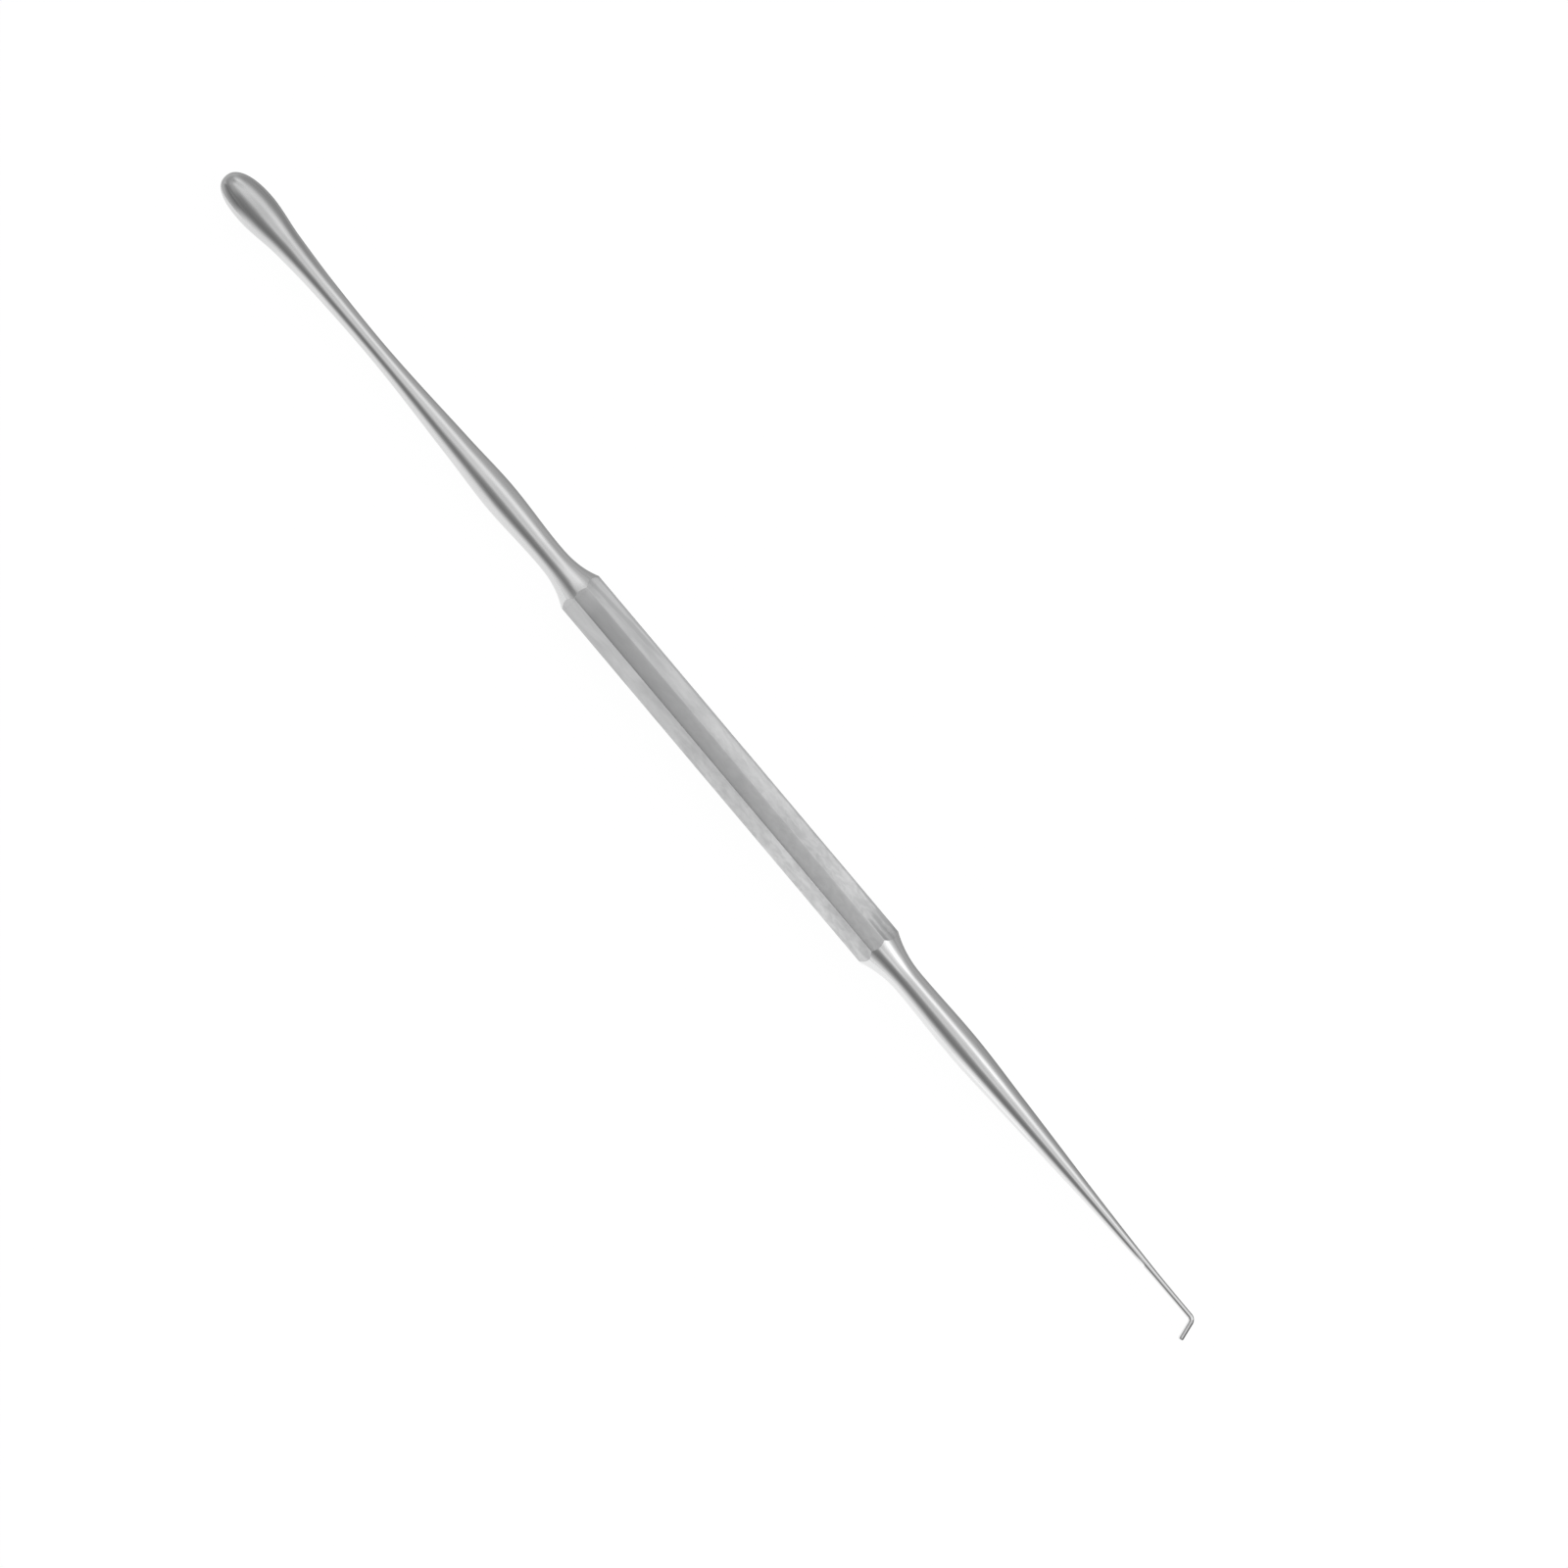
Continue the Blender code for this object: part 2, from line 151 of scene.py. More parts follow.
# Soft-edged cards near the tool, which show only in its reflections. Each has a middle, half its
# size, the share of that over which it fades, how much light it lets through and how much it adds.
STUDIO_CARDS = {
    "strip_light_over_hook_shank": ((0.038, 0.022, 0.025), (0.018, 0.0, 0.015), (0.5, 1.0, 1.0),
                                    1.0, 0.25),
    "pale_card_beside_handle": ((-0.001, 0.010, 0.0027), (0.0265, 0.0, 0.0065), (0.08, 1.0, 0.6),
                                1.0, 0.38),
    "grey_card_beside_drop": ((-0.080, 0.008, 0.0027), (0.016, 0.0, 0.017), (0.6, 1.0, 1.0),
                              0.68, 0.0),
    "grey_card_beside_nose": ((-0.089, -0.008, 0.0068), (0.010, 0.0, 0.0044), (0.5, 1.0, 0.6),
                              0.50, 0.0),
    "grey_card_past_nose": ((-0.100, 0.0035, 0.013), (0.0, 0.0065, 0.011), (1.0, 0.7, 0.7),
                            0.68, 0.0),
    "pale_card_over_nose": ((-0.0925, -0.0040, 0.0127), (0.0085, 0.0032, 0.0), (0.7, 0.9, 1.0),
                            1.0, 0.13),
    "grey_card_over_nose": ((-0.0925, 0.0050, 0.0127), (0.0085, 0.0042, 0.0), (0.7, 0.8, 1.0),
                            0.80, 0.0),
    "pale_card_over_spatula_shank": ((-0.059, -0.0045, 0.030), (0.016, 0.0075, 0.0),
                                     (0.6, 0.9, 1.0), 1.0, 0.15),
    "pale_card_beside_hook_shank": ((0.0475, -0.010, 0.005), (0.009, 0.0, 0.007),
                                    (0.6, 1.0, 0.8), 1.0, 0.18),
    "grey_card_past_hook": ((0.088, 0.0025, 0.0027), (0.0, 0.010, 0.020), (1.0, 0.4, 1.0),
                            0.25, 0.0),
    "pale_card_behind_hook": ((0.071, -0.0064, 0.0027), (0.0, 0.0056, 0.016), (1.0, 0.3, 0.8),
                              1.0, 0.30),
}


def number(name, description, default, **limits):
    """A number that the user can change."""
    return FloatProperty(name=name, description=description, default=default, **limits)


def size(name, description, default, lowest=0.0):
    """A length that the user can change."""
    return number(name, description, default, min=lowest, unit="LENGTH", precision=5)


def share(name, description, default):
    """A number from 0 to 1 that the user can change."""
    return number(name, description, default, min=0.0, max=1.0, subtype="FACTOR")


def rotation(name, description, degrees):
    """An angle that the user can change."""
    return number(name, description, math.radians(degrees), subtype="ANGLE", unit="ROTATION")


def colour(name, description, default):
    """A colour that the user can change."""
    return FloatVectorProperty(name=name, description=description, default=default, size=3,
                               min=0.0, max=1.0, subtype="COLOR")


def stretch(name, description, default):
    """The length of a shank's stretch and the radius at its end, for the user to change."""
    return FloatVectorProperty(name=name, description=description, default=default, size=2,
                               min=0.0, unit="LENGTH", precision=5)


class SectionSettings(bpy.types.PropertyGroup):
    """The octagonal section that handle and collars share."""

    across_flats: size("Across flats", "Width between two opposite main flats", HANDLE_ACROSS)
    corner_cut: size("Corner cut", "How much is planed off each corner of the square bar", 0.00175)
    edge_easing: size("Edge easing", "How widely the ground edges are rounded", 0.00003)
    roundness: share("Roundness", "How far the flats bulge towards a round bar", 0.12)
    collar_oversize: size("Collar oversize", "How far the turned rim stands past the corners",
                          0.00004)
    seam: size("Seam", "Gap between handle and shoulder", 0.00002)


class HandleSettings(bpy.types.PropertyGroup):
    """The bar between the two ends."""

    length: size("Length", "Length of the bar with the alloy in its seams",
                 HANDLE_LENGTH + 2 * SEAM_FILLING)
    bore_radius: size("Bore radius", "Radius of the bore in each end", 0.0015)
    bore_depth: size("Bore depth", "Depth of each bore's straight part", 0.0120)
    mouth_chamfer: size("Mouth chamfer", "Chamfer of each bore's mouth", 0.0004)
    ring_spacing: size("Ring spacing", "Distance between rings of the grid", 0.0005)


class SpatulaSettings(bpy.types.PropertyGroup):
    """The end with the blunt drop."""

    flare_length: size("Flare length", "From the collar's rim to the neck", 0.00565)
    flare_sharpness: number("Flare sharpness", "How hollow the flare is", 2.5, min=1.0)
    neck_radius: size("Neck radius", "Radius where the flare ends", 0.00160)
    swell: stretch("Swell", "Length from the neck, and radius", (0.0082, 0.00189))
    upper_taper: stretch("Upper taper", "Length from the swell, and radius at its end",
                         (0.0072, 0.00157))
    waist: stretch("Waist", "Length from there to the waist, and radius", (0.0145, 0.00108))
    rise: stretch("Rise", "Length from the waist, and radius at its end", (0.0080, 0.00125))
    shoulder: stretch("Shoulder", "Length from there to the drop's shoulder, and radius",
                      (0.0065, 0.00165))
    drop: stretch("Drop", "Length from there to the widest place, and radius", (0.0054, 0.00225))
    drop_thickness: size("Drop thickness", "Thickness that the drop is pressed to", 0.0037)
    nose_length: size("Nose length", "From the widest place to the tip", 0.00480)
    nose_fullness: number("Nose fullness", "How full the nose is", 2.35, min=1.0)
    nose_offset: size("Nose offset", "How far the nose is drawn sideways", 0.00033)


class HookSettings(bpy.types.PropertyGroup):
    """The end with the bent wire."""

    flare_length: size("Flare length", "From the collar's rim to the neck", 0.0056)
    flare_sharpness: number("Flare sharpness", "How hollow the flare is", 2.15, min=1.0)
    neck_radius: size("Neck radius", "Radius where the flare ends", 0.00164)
    swell: stretch("Swell", "Length from the neck, and radius", (0.0086, 0.00179))
    upper_taper: stretch("Upper taper", "Length from the swell, and radius at its end",
                         (0.0092, 0.00142))
    lower_taper: stretch("Lower taper", "Length from there, and radius at its end",
                         (0.0161, 0.000645))
    point: stretch("Point", "Length from there to the wire, and radius", (0.0097, 0.00035))
    wire: stretch("Wire", "Length of straight wire before the bend, and radius", (0.0040, 0.00033))
    turn: rotation("Turn", "How far the wire is bent", 71)
    inside_radius: size("Inside radius", "Radius inside the bend", 0.00038)
    leg_length: size("Leg length", "From the bend to the hook's tip", 0.00212)
    leg_radius: size("Leg radius", "Radius of the hook's leg", 0.00034)
    tip_fullness: number("Tip fullness", "How square the tip is", 3.0, min=1.0)


class TurningSettings(bpy.types.PropertyGroup):
    """What both turned ends share."""

    collar_land: size("Collar land", "Straight rim between shoulder and flare", 0.0001)
    tang_clearance: size("Tang clearance", "Gap between tang and bore", 0.00002)
    tang_end_room: size("Tang end room", "Gap between the tang's end and the bore's", 0.0008)
    tang_lead_in: size("Tang lead-in", "Chamfer at the tang's end", 0.0003)
    ring_spacing: size("Ring spacing", "Distance between rings of the grid", 0.00025)
    flare_rings: IntProperty(name="Flare rings", description="Rings down a flare", default=36)
    tip_rings: IntProperty(name="Tip rings", description="Rings over a rounded tip", default=28)
    bend_rings: IntProperty(name="Bend rings", description="Rings round the bend", default=36)


class FinishSettings(bpy.types.PropertyGroup):
    """The steel's colours and finishes."""

    # These two colours also carry the light and shade painted along the handle
    satin_dark: colour("Satin, dark", "Ground steel in its duller patches", (0.47, 0.473, 0.477))
    satin_light: colour("Satin, light", "Ground steel in its brighter patches",
                        (0.71, 0.712, 0.715))
    # The dark polished colour is also painted shade over the drop
    polished_dark_and_drop_shade: colour("Polished, dark", "Polished steel where it is dullest, on the drop",
                          (0.655, 0.657, 0.66))
    polished_light: colour("Polished, light", "Polished steel in its brighter streaks",
                           (0.775, 0.776, 0.778))
    alloy: colour("Alloy", "Brazing alloy in the seams", (0.74, 0.70, 0.62))
    satin_roughness: share("Satin roughness", "Roughness of the ground flats", 0.34)
    polished_roughness: share("Polished roughness", "Roughness of the polished ends", 0.12)


class StageSettings(bpy.types.PropertyGroup):
    """Camera, floor and light."""

    view_width: size("View width", "Width of what the camera sees", 0.17184)
    view_x: size("View X", "Middle of the view along the tool", 0.005083, lowest=-1.0)
    view_y: size("View Y", "Middle of the view across the tool", 0.003542, lowest=-1.0)
    view_turn: rotation("View turn", "How the tool slants in the view", 49.898)
    lens: number("Lens", "Focal length in millimetres", 300.0)
    sensor: number("Sensor", "Sensor width in millimetres", 36.0)
    floor_width: size("Floor width", "Width of the square floor", 3.0)
    floor_colour: colour("Floor colour", "The pale floor", (0.80, 0.80, 0.80))
    shadow_share: share("Shadow share", "How much of the floor's brightness a shadow can take",
                        0.06)
    light_level: share("Light level", "Share of full light that falls on the open floor", 0.55)


def feed(socket, source):
    """Give a node's input a field, a socket, a node's first output or a plain value."""
    if isinstance(source, bpy.types.Node):
        source = source.outputs[0]
    if isinstance(source, Field):
        source = source.socket
    if isinstance(source, bpy.types.NodeSocket):
        socket.id_data.links.new(source, socket)
    elif socket.type == "RGBA":
        socket.default_value = (*source, 1)
    else:
        socket.default_value = source


def fed(node, *sources, **values):
    """A node whose inputs are fed in order or by name."""
    for socket, source in zip(node.inputs, sources):
        feed(socket, source)
    for name, value in values.items():
        feed(node.inputs[name.replace("_", " ")], value)
    return node


def new_node(tree, kind, *sources, **values):
    """A new node whose inputs are fed in order or by name."""
    return fed(tree.nodes.new(kind), *sources, **values)


def by_math(operation, swapped=False):
    """A method that works a field and any further operands out by a Math node."""
    def method(self, *others):
        operands = (*others, self) if swapped else (self, *others)
        node = new_node(self.tree, "ShaderNodeMath", *operands)
        node.operation = operation
        return Field(node.outputs["Value"])
    return method


class Field:
    """A number that varies over a surface."""

    def __init__(self, socket):
        self.tree = socket.id_data
        self.socket = socket

    __add__ = by_math("ADD")
    __radd__ = by_math("ADD", swapped=True)
    __sub__ = by_math("SUBTRACT")
    __rsub__ = by_math("SUBTRACT", swapped=True)
    __mul__ = by_math("MULTIPLY")
    __rmul__ = by_math("MULTIPLY", swapped=True)
    __truediv__ = by_math("DIVIDE")
    __rtruediv__ = by_math("DIVIDE", swapped=True)
    __pow__ = by_math("POWER")
    __mod__ = by_math("FLOORED_MODULO")
    __abs__ = by_math("ABSOLUTE")
    cosine = by_math("COSINE")
    sine = by_math("SINE")
    arctangent = by_math("ARCTAN2")
    smaller = by_math("MINIMUM")
    larger = by_math("MAXIMUM")

    def mapped(self, low, high, new_low=0.0, new_high=1.0, smooth=False):
        """The field carried from one range to another and held there."""
        node = new_node(self.tree, "ShaderNodeMapRange", Value=self, From_Min=low,
                        From_Max=high, To_Min=new_low, To_Max=new_high)
        node.interpolation_type = "SMOOTHSTEP" if smooth else "LINEAR"
        return Field(node.outputs["Result"])


def mixed(first, second, factor):
    """Two fields or numbers mixed by a factor."""
    return first + (second - first) * factor


def taken(node, *names):
    """The named outputs of a node, as fields."""
    return [Field(node.outputs[name]) for name in names]


def axis_fields(tree, vector):
    """The X, Y and Z of a vector."""
    return taken(new_node(tree, "ShaderNodeSeparateXYZ", vector), "X", "Y", "Z")


# Kinds of the sockets that hold something other than a number
SOCKET_KINDS = {
    "Geometry": "NodeSocketGeometry",
    "Material": "NodeSocketMaterial",
    "Position": "NodeSocketVector",
    "Color": "NodeSocketColor",
}


def new_group(name, kind, inputs, outputs):
    """A node group with its sockets, and its input and output nodes."""
    tree = bpy.data.node_groups.new(name, kind)
    for in_out, names in (("INPUT", inputs), ("OUTPUT", outputs)):
        for socket in names:
            tree.interface.new_socket(socket, in_out=in_out,
                                      socket_type=SOCKET_KINDS.get(socket, "NodeSocketFloat"))
    return tree, tree.nodes.new("NodeGroupInput"), tree.nodes.new("NodeGroupOutput")


def group_named(name):
    """A node group, made on first use."""
    return bpy.data.node_groups.get(name) or GROUPS[name]()


def use_group(tree, name, **values):
    """Place a group in a tree, with its inputs given by name."""
    kind = "GeometryNodeGroup" if tree.type == "GEOMETRY" else "ShaderNodeGroup"
    node = tree.nodes.new(kind)
    node.node_tree = group_named(name)
    return fed(node, **values)


def grid_fields(tree, *names):
    """Numbers that the grid carries at each of its points."""
    fields = []
    for name in names:
        node = tree.nodes.new("GeometryNodeInputNamedAttribute")
        node.data_type = "FLOAT"
        fed(node, Name=name)
        fields.append(Field(node.outputs["Attribute"]))
    return fields


def own_along(tree):
    """How far along its own axis each point of the grid stands."""
    return axis_fields(tree, tree.nodes.new("GeometryNodeInputPosition"))[2]


SECTION_SIZES = ("Across Flats", "Across Corner Flats", "Edge Easing", "Roundness")
COLLAR_SIZES = ("Collar Land", "Rim Radius", "Neck Radius", "Flare Length", "Flare Sharpness")
SPATULA_SIZES = ("Pressed From", "Widest At", "Tip At", "Pressed", "Nose Offset")
HOOK_SIZES = ("Bend At", "Bend Radius", "Turn")


def piece_group(name, *sizes):
    """A piece's tree, which takes a grid, a material and sizes."""
    inputs = ("Geometry", "Material", *SECTION_SIZES, *sizes)
    return new_group(name, "GeometryNodeTree", inputs, ("Geometry",))


def piece_ended(tree, given, result, place, edge):
    """Move the grid's points to X, Y and Z, close its poles and give it its material."""
    moved = new_node(tree, "GeometryNodeSetPosition",
                     Position=new_node(tree, "ShaderNodeCombineXYZ", *place))
    stored = tree.nodes.new("GeometryNodeStoreNamedAttribute")
    stored.data_type = "FLOAT"
    stored.domain = "POINT"
    fed(stored, Name="ground_edge", Value=edge)
    closed = new_node(tree, "GeometryNodeMergeByDistance", Distance=POLE_MERGE)
    real = tree.nodes.new("GeometryNodeRealizeInstances")
    finished = new_node(tree, "GeometryNodeSetMaterial", Material=given.outputs["Material"])
    geometry = given.outputs["Geometry"]
    for node in (moved, stored, closed, real, finished, result):
        geometry = fed(node, Geometry=geometry)
    return tree


def planed_section_group():
    """The radius of the planed octagon at an angle round the axis, and the nearness of an edge."""
    tree, given, result = new_group("planed_section", "GeometryNodeTree",
                                    ("Around", *SECTION_SIZES), ("Radius", "Edge"))
    around, across, across_corners, easing, roundness = taken(given, "Around", *SECTION_SIZES)
    folded = abs((around + EIGHTH_TURN) % QUARTER_TURN - EIGHTH_TURN)
    half = across / 2
    half_corners = across_corners / 2
    flatness = 1 - roundness
    on_main = mixed(half, half / folded.cosine(), flatness)
    on_corner = mixed(half_corners, half_corners / (EIGHTH_TURN - folded).cosine(), flatness)
    edge = (easing - abs(on_main - on_corner)).larger(0.0) / easing
    radius = on_main.smaller(on_corner) - edge * edge * easing / 4
    fed(result, Radius=radius, Edge=edge)
    return tree


def section_in(tree, given, around):
    """The octagon's radius and edge fields, from a tree's own inputs."""
    sizes = {name: given.outputs[name] for name in SECTION_SIZES}
    node = use_group(tree, "planed_section", Around=around, **sizes)
    return taken(node, "Radius", "Edge")


def handle_group():
    """Planes the handle's grid to an octagon, wherever its turned radius is larger."""
    tree, given, result = piece_group("planed_handle")
    around, planed, turned = grid_fields(tree, "around", "planed", "turned")
    octagon, edge = section_in(tree, given, around)
    radius = turned.smaller(octagon)
    place = (radius * around.cosine(), radius * around.sine(), own_along(tree))
    return piece_ended(tree, given, result, place, edge * planed)


def collared_end(tree, given):
    """X, Y and Z of an end with its collar planed, and its edge field.

    The grid's collar rings run up to the scallop where the flats meet the flare, and its
    flare rings run on from there, so that the scalloped edge lies along a ring.
    """
    around, planed, flared, run, turned = grid_fields(tree, "around", "planed", "flared",
                                                      "share", "turned")
    octagon, edge = section_in(tree, given, around)
    land, rim, neck, length, sharpness = taken(given, *COLLAR_SIZES)
    left_over = ((octagon - neck) / (rim - neck)).larger(0.0) ** (1 / sharpness)
    scallop_at = land + length * (1 - left_over)
    flare_along = mixed(scallop_at, land + length, run)
    hollow = (1 - (flare_along - land) / length).larger(0.0) ** sharpness
    flare_radius = mixed(neck, rim, hollow)
    plain = 1 - planed - flared
    along = planed * scallop_at * run + flared * flare_along + plain * own_along(tree)
    radius = planed * octagon + flared * flare_radius + plain * turned
    return radius * around.cosine(), radius * around.sine(), along, edge * planed


def spatula_group():
    """Shapes the spatula end: collar planed, drop pressed, nose drawn sideways."""
    tree, given, result = piece_group("spatula_end", *COLLAR_SIZES, *SPATULA_SIZES)
    x, y, along, edge = collared_end(tree, given)
    start, widest_at, tip_at, pressed, offset = taken(given, *SPATULA_SIZES)
    pressing = along.mapped(start, widest_at, smooth=True)
    drawing = along.mapped(start, tip_at) ** 3
    place = (x * (1 - pressed * pressing), y - offset * drawing, along)
    return piece_ended(tree, given, result, place, edge)


def hook_group():
    """Shapes the hook end: collar planed, wire bent sideways with its leg straight."""
    tree, given, result = piece_group("hook_end", *COLLAR_SIZES, *HOOK_SIZES)
    x, y, along, edge = collared_end(tree, given)
    bend_at, bend_radius, turn = taken(given, *HOOK_SIZES)
    bend_length = bend_radius * turn
    beyond = (along - bend_at).larger(0.0)
    bent = beyond.smaller(bend_length) / bend_radius
    leg = (beyond - bend_length).larger(0.0)
    out = bend_radius + y
    bent_along = along.smaller(bend_at) + out * bent.sine() + leg * bent.cosine()
    bent_y = out * bent.cosine() - bend_radius - leg * bent.sine()
    return piece_ended(tree, given, result, (x, bent_y, bent_along), edge)


def across_corner_flats(section):
    """Width between two opposite corner flats."""
    return math.sqrt(2) * (section.across_flats - section.corner_cut)


def column_angles(section):
    """Angles of the grid's columns round the axis, close together at the ground edges."""
    half = section.across_flats / 2
    half_corners = across_corner_flats(section) / 2
    edge = math.atan2(half_corners - half * math.cos(EIGHTH_TURN), half * math.sin(EIGHTH_TURN))
    reach = math.radians(COLUMNS_AT_EDGE[-1])
    quarter = []
    for middle, half_width, columns in (
        (0, edge, COLUMNS_ON_MAIN_FLAT),
        (EIGHTH_TURN, EIGHTH_TURN - edge, COLUMNS_ON_CORNER_FLAT),
    ):
        inner = half_width - reach
        for column in range(1, columns + 1):
            quarter.append(middle - inner + 2 * inner * column / (columns + 1))
        for offset in COLUMNS_AT_EDGE:
            quarter.append(middle + half_width + math.radians(offset))
    return sorted((angle + side * QUARTER_TURN) % math.tau
                  for side in range(4) for angle in quarter)


def curve_slopes(stations):
    """Slopes at (distance, radius) stations that keep the curve free of bumps."""
    steps = [(r1 - r0) / (z1 - z0) for (z0, r0), (z1, r1) in zip(stations, stations[1:])]
    slopes = [0.0]
    for before, after in zip(steps, steps[1:]):
        same_way = before * after > 0
        slopes.append(2 * before * after / (before + after) if same_way else 0.0)
    slopes.append(0.0)
    return slopes


def turned_ring(radius, along, planed=0.0, flared=0.0, run=0.0):
    """One ring of a grid: its turned radius, its place, and what shapes it."""
    return {"turned": radius, "along": along, "planed": planed, "flared": flared, "share": run}


def shank_rings(stations, spacing):
    """Rings on the smooth curve through the stations, after the first."""
    slopes = curve_slopes(stations)
    rings = []
    for index, ((z0, r0), (z1, r1)) in enumerate(zip(stations, stations[1:])):
        length = z1 - z0
        steps = math.ceil(length / spacing)
        for step in range(1, steps + 1):
            t = step / steps
            start = (1 + 2 * t) * (1 - t) ** 2
            radius = r0 * start + r1 * (1 - start)
            radius += slopes[index] * length * t * (1 - t) ** 2
            radius += slopes[index + 1] * length * t * t * (t - 1)
            rings.append(turned_ring(radius, z0 + length * t))
    return rings


def rounded_rings(radius, start, length, fullness, steps):
    """Rings over a rounded tip, the last of them a point on the axis."""
    rings = []
    for step in range(1, steps):
        angle = QUARTER_TURN * step / steps
        narrowed = radius * math.cos(angle) ** (2 / fullness)
        rings.append(turned_ring(narrowed, start + length * math.sin(angle) ** (2 / fullness)))
    rings.append(turned_ring(0.0, start + length))
    return rings


def tang_and_collar_rings(scene):
    """Rings from the tang's end to the neck, the same for both ends."""
    turning = scene.ear_pick_turning
    handle = scene.ear_pick_handle
    tang_radius = handle.bore_radius - turning.tang_clearance
    tang_end = turning.tang_end_room - handle.bore_depth
    rings = [
        turned_ring(0.0, tang_end),
        turned_ring(tang_radius - turning.tang_lead_in, tang_end),
        turned_ring(tang_radius, tang_end + turning.tang_lead_in),
        turned_ring(tang_radius, 0.0),
    ]
    for step in range(COLLAR_RINGS + 1):
        rings.append(turned_ring(0.0, 0.0, planed=1.0, run=step / COLLAR_RINGS))
    for step in range(1, turning.flare_rings + 1):
        run = (step / turning.flare_rings) ** FLARE_RING_BUNCHING
        rings.append(turned_ring(0.0, 0.0, flared=1.0, run=run))
    return rings


def shank_of(scene, end, *stretches):
    """(distance, radius) stations of an end's shank, and all rings from the tang to its end."""
    turning = scene.ear_pick_turning
    stations = [(turning.collar_land + end.flare_length, end.neck_radius)]
    for length, radius in stretches:
        stations.append((stations[-1][0] + length, radius))
    return stations, tang_and_collar_rings(scene) + shank_rings(stations, turning.ring_spacing)


def in_scene(name, data):
    """A new object of the scene."""
    made = bpy.data.objects.new(name, data)
    bpy.context.scene.collection.objects.link(made)
    return made


def grid_of(name, rings, angles):
    """A closed grid of rings and columns, which carries what the nodes need at each point."""
    mesh = bpy.data.meshes.new(name)
    columns = len(angles)
    points = [(math.cos(angle), math.sin(angle), ring["along"])
              for ring in rings for angle in angles]
    faces = []
    for row in range(len(rings) - 1):
        for column in range(columns):
            following = (column + 1) % columns
            faces.append((row * columns + column, row * columns + following,
                          (row + 1) * columns + following, (row + 1) * columns + column))
    mesh.from_pydata(points, [], faces)
    attributes = {"around": [angle for _ in rings for angle in angles]}
    for key in ("turned", "planed", "flared", "share"):
        attributes[key] = [ring[key] for ring in rings for _ in angles]
    for key, values in attributes.items():
        mesh.attributes.new(key, "FLOAT", "POINT").data.foreach_set("value", values)
    return in_scene(name, mesh)


def shaped(grid, tree, values, place):
    """Run a tree on a grid, and turn the result into a plain mesh at its place."""
    modifier = grid.modifiers.new("Shaping", "NODES")
    modifier.node_group = tree
    for item in tree.interface.items_tree:
        if item.item_type == "SOCKET" and item.in_out == "INPUT" and item.name in values:
            modifier[item.identifier] = values[item.name]
    bpy.context.view_layer.update()
    depsgraph = bpy.context.evaluated_depsgraph_get()
    mesh = bpy.data.meshes.new_from_object(grid.evaluated_get(depsgraph))
    grid.modifiers.remove(modifier)
    if not mesh.polygons:
        raise RuntimeError(f"{grid.name} came out empty")
    mesh.transform(place)
    bm = bmesh.new()
    bm.from_mesh(mesh)
    bmesh.ops.recalc_face_normals(bm, faces=bm.faces)
    bm.to_mesh(mesh)
    bm.free()
    mesh.shade_smooth()
    mesh.set_sharp_from_angle(angle=SHARP_ANGLE)
    for name in ("around", "turned", "flared", "share"):
        mesh.attributes.remove(mesh.attributes[name])
    old = grid.data
    grid.data = mesh
    mesh.name = grid.name
    bpy.data.meshes.remove(old)
    return grid


def end_sizes(scene, end):
    """The sizes that an end's tree takes for its collar and flare."""
    section = scene.ear_pick_section
    flat_width = section.across_flats - 2 * section.corner_cut
    corner = math.hypot(section.across_flats, flat_width) / 2
    return {
        "Collar Land": scene.ear_pick_turning.collar_land,
        "Rim Radius": corner + section.collar_oversize,
        "Neck Radius": end.neck_radius,
        "Flare Length": end.flare_length,
        "Flare Sharpness": end.flare_sharpness,
    }


def shoulder_at(scene):
    """How far each shoulder stands from the middle of the handle."""
    return scene.ear_pick_handle.length / 2 - SEAM_FILLING + scene.ear_pick_section.seam


def material_named(name):
    """A material that is already made."""
    made = bpy.data.materials.get(name)
    if made is None:
        raise RuntimeError(f"the material {name} isn't made yet")
    return made


def vector_scaled(tree, vector, x, y, z):
    """A vector scaled along each axis."""
    scales = new_node(tree, "ShaderNodeCombineXYZ", x, y, z)
    node = new_node(tree, "ShaderNodeVectorMath", vector, scales)
    node.operation = "MULTIPLY"
    return node


def noise(tree, vector, detail, roughness=0.5, distortion=0.0):
    """A noise from 0 to 1, one patch to a unit of the vector."""
    node = new_node(tree, "ShaderNodeTexNoise", Vector=vector, Scale=1.0, Detail=detail,
                    Roughness=roughness, Distortion=distortion)
    return Field(node.outputs[0])


def effect_group(name):
    """A new effect's tree, its result and position, and the position in lengths and widths."""
    tree, given, result = new_group(name, "ShaderNodeTree", ("Position", "Length", "Width"),
                                    ("Effect",))
    length, width = taken(given, "Length", "Width")
    position = given.outputs["Position"]
    return tree, result, position, vector_scaled(tree, position, 1 / length, 1 / width, 1 / width)


def grain_group():
    """Fine lines left along the tool by a grinding belt or a polishing cloth."""
    tree, result, _, stretched = effect_group("lengthwise_grain")
    fed(result, Effect=noise(tree, stretched, detail=3.0, roughness=0.6))
    return tree


def clouds_group():
    """Soft patches where the surface came out duller or brighter."""
    tree, result, _, stretched = effect_group("cloudy_patches")
    clouds = noise(tree, stretched, detail=2.5, roughness=0.55, distortion=0.6)
    fed(result, Effect=clouds.mapped(0.3, 0.7, smooth=True))
    return tree


def scratches_group():
    """Sparse hairline scratches from use, most of them near lengthwise."""
    tree, result, position, stretched = effect_group("hairline_scratches")
    lines = noise(tree, stretched, detail=1.0, distortion=0.25)
    narrow = 1 - abs(lines - 0.5).mapped(0.0, 0.012)
    places = noise(tree, vector_scaled(tree, position, *SCRATCHED_PATCHES), detail=1.0)
    fed(result, Effect=narrow * places.mapped(0.52, 0.64))
    return tree


